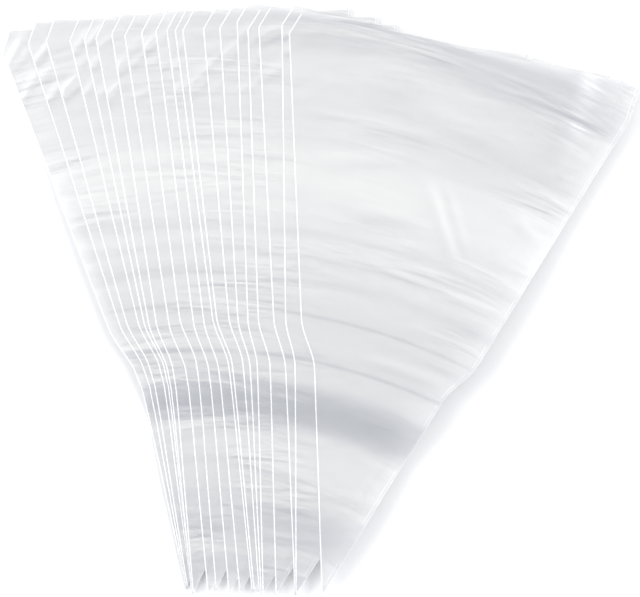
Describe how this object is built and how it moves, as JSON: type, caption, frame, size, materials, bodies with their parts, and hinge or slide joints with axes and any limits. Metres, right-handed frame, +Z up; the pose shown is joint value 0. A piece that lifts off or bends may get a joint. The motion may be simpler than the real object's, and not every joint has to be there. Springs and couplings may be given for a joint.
{
  "type": "piping bag",
  "caption": "Fan of flat, empty, disposable piping bags in thin clear film, stacked tip to tip. Each is a film cone with a folded edge, a welded edge and an open mouth, and swivels.",
  "frame": {"origin": "under the middle of the fan's bounding box, on the surface that the fan lies on", "axes": "+Y runs from the bags' tips to their mouths, +X to the right across the fan, which is its longest side, +Z up through the stack"},
  "size_m": [0.3188, 0.2966, 0.0071],
  "materials": {
    "film": "thin clear blown film, soft gloss",
    "seam": "folded and welded film edge, milky white"
  },
  "bodies": {
    "bag_01": {"bag_01_back_film": "film", "bag_01_seams": "seam", "bag_01_front_film": "film"},
    "bag_02": {"bag_02_back_film": "film", "bag_02_seams": "seam", "bag_02_front_film": "film"},
    "bag_03": {"bag_03_back_film": "film", "bag_03_seams": "seam", "bag_03_front_film": "film"},
    "bag_04": {"bag_04_back_film": "film", "bag_04_seams": "seam", "bag_04_front_film": "film"},
    "bag_05": {"bag_05_back_film": "film", "bag_05_seams": "seam", "bag_05_front_film": "film"},
    "bag_06": {"bag_06_back_film": "film", "bag_06_seams": "seam", "bag_06_front_film": "film"},
    "bag_07": {"bag_07_back_film": "film", "bag_07_seams": "seam", "bag_07_front_film": "film"},
    "bag_08": {"bag_08_back_film": "film", "bag_08_seams": "seam", "bag_08_front_film": "film"},
    "bag_09": {"bag_09_back_film": "film", "bag_09_seams": "seam", "bag_09_front_film": "film"},
    "bag_10": {"bag_10_back_film": "film", "bag_10_seams": "seam", "bag_10_front_film": "film"},
    "bag_11": {"bag_11_back_film": "film", "bag_11_seams": "seam", "bag_11_front_film": "film"},
    "bag_12": {"bag_12_back_film": "film", "bag_12_seams": "seam", "bag_12_front_film": "film"},
    "bag_13": {"bag_13_back_film": "film", "bag_13_seams": "seam", "bag_13_front_film": "film"},
    "bag_14": {"bag_14_back_film": "film", "bag_14_seams": "seam", "bag_14_front_film": "film"},
    "bag_15": {"bag_15_back_film": "film", "bag_15_seams": "seam", "bag_15_front_film": "film"},
    "bag_16": {"bag_16_back_film": "film", "bag_16_seams": "seam", "bag_16_front_film": "film"},
    "bag_17": {"bag_17_back_film": "film", "bag_17_seams": "seam", "bag_17_front_film": "film"},
    "bag_18": {"bag_18_back_film": "film", "bag_18_seams": "seam", "bag_18_front_film": "film"},
    "bag_19": {"bag_19_back_film": "film", "bag_19_seams": "seam", "bag_19_front_film": "film"},
    "bag_20": {"bag_20_back_film": "film", "bag_20_seams": "seam", "bag_20_front_film": "film"}
  },
  "joints": [
    {"name": "bag_02_swivel", "type": "hinge", "parent": "bag_01", "child": "bag_02", "pos_m": [-0.05971, -0.3003, 0], "axis": [0, 0, 1], "range_deg": [-1, 1.5]},
    {"name": "bag_03_swivel", "type": "hinge", "parent": "bag_01", "child": "bag_03", "pos_m": [-0.05971, -0.3003, 0], "axis": [0, 0, 1], "range_deg": [-1, 2.5]},
    {"name": "bag_04_swivel", "type": "hinge", "parent": "bag_01", "child": "bag_04", "pos_m": [-0.05971, -0.3003, 0], "axis": [0, 0, 1], "range_deg": [-2, 4]},
    {"name": "bag_05_swivel", "type": "hinge", "parent": "bag_01", "child": "bag_05", "pos_m": [-0.05971, -0.3003, 0], "axis": [0, 0, 1], "range_deg": [-2.5, 5]},
    {"name": "bag_06_swivel", "type": "hinge", "parent": "bag_01", "child": "bag_06", "pos_m": [-0.05971, -0.3003, 0], "axis": [0, 0, 1], "range_deg": [-3, 5.5]},
    {"name": "bag_07_swivel", "type": "hinge", "parent": "bag_01", "child": "bag_07", "pos_m": [-0.05971, -0.3003, 0], "axis": [0, 0, 1], "range_deg": [-3, 6.5]},
    {"name": "bag_08_swivel", "type": "hinge", "parent": "bag_01", "child": "bag_08", "pos_m": [-0.05971, -0.3003, 0], "axis": [0, 0, 1], "range_deg": [-4, 7.5]},
    {"name": "bag_09_swivel", "type": "hinge", "parent": "bag_01", "child": "bag_09", "pos_m": [-0.05971, -0.3003, 0], "axis": [0, 0, 1], "range_deg": [-4.5, 9]},
    {"name": "bag_10_swivel", "type": "hinge", "parent": "bag_01", "child": "bag_10", "pos_m": [-0.05971, -0.3003, 0], "axis": [0, 0, 1], "range_deg": [-5, 10]},
    {"name": "bag_11_swivel", "type": "hinge", "parent": "bag_01", "child": "bag_11", "pos_m": [-0.05971, -0.3003, 0], "axis": [0, 0, 1], "range_deg": [-5.5, 11]},
    {"name": "bag_12_swivel", "type": "hinge", "parent": "bag_01", "child": "bag_12", "pos_m": [-0.05971, -0.3003, 0], "axis": [0, 0, 1], "range_deg": [-6, 11.5]},
    {"name": "bag_13_swivel", "type": "hinge", "parent": "bag_01", "child": "bag_13", "pos_m": [-0.05971, -0.3003, 0], "axis": [0, 0, 1], "range_deg": [-6, 12]},
    {"name": "bag_14_swivel", "type": "hinge", "parent": "bag_01", "child": "bag_14", "pos_m": [-0.05971, -0.3003, 0], "axis": [0, 0, 1], "range_deg": [-7, 13.5]},
    {"name": "bag_15_swivel", "type": "hinge", "parent": "bag_01", "child": "bag_15", "pos_m": [-0.05971, -0.3003, 0], "axis": [0, 0, 1], "range_deg": [-7, 14.5]},
    {"name": "bag_16_swivel", "type": "hinge", "parent": "bag_01", "child": "bag_16", "pos_m": [-0.05971, -0.3003, 0], "axis": [0, 0, 1], "range_deg": [-8, 15.5]},
    {"name": "bag_17_swivel", "type": "hinge", "parent": "bag_01", "child": "bag_17", "pos_m": [-0.05971, -0.3003, 0], "axis": [0, 0, 1], "range_deg": [-8, 16.5]},
    {"name": "bag_18_swivel", "type": "hinge", "parent": "bag_01", "child": "bag_18", "pos_m": [-0.05971, -0.3003, 0], "axis": [0, 0, 1], "range_deg": [-9, 17.5]},
    {"name": "bag_19_swivel", "type": "hinge", "parent": "bag_01", "child": "bag_19", "pos_m": [-0.05971, -0.3003, 0], "axis": [0, 0, 1], "range_deg": [-9, 18.5]},
    {"name": "bag_20_swivel", "type": "hinge", "parent": "bag_01", "child": "bag_20", "pos_m": [-0.05971, -0.3003, 0], "axis": [0, 0, 1], "range_deg": [-10, 20]}
  ]
}
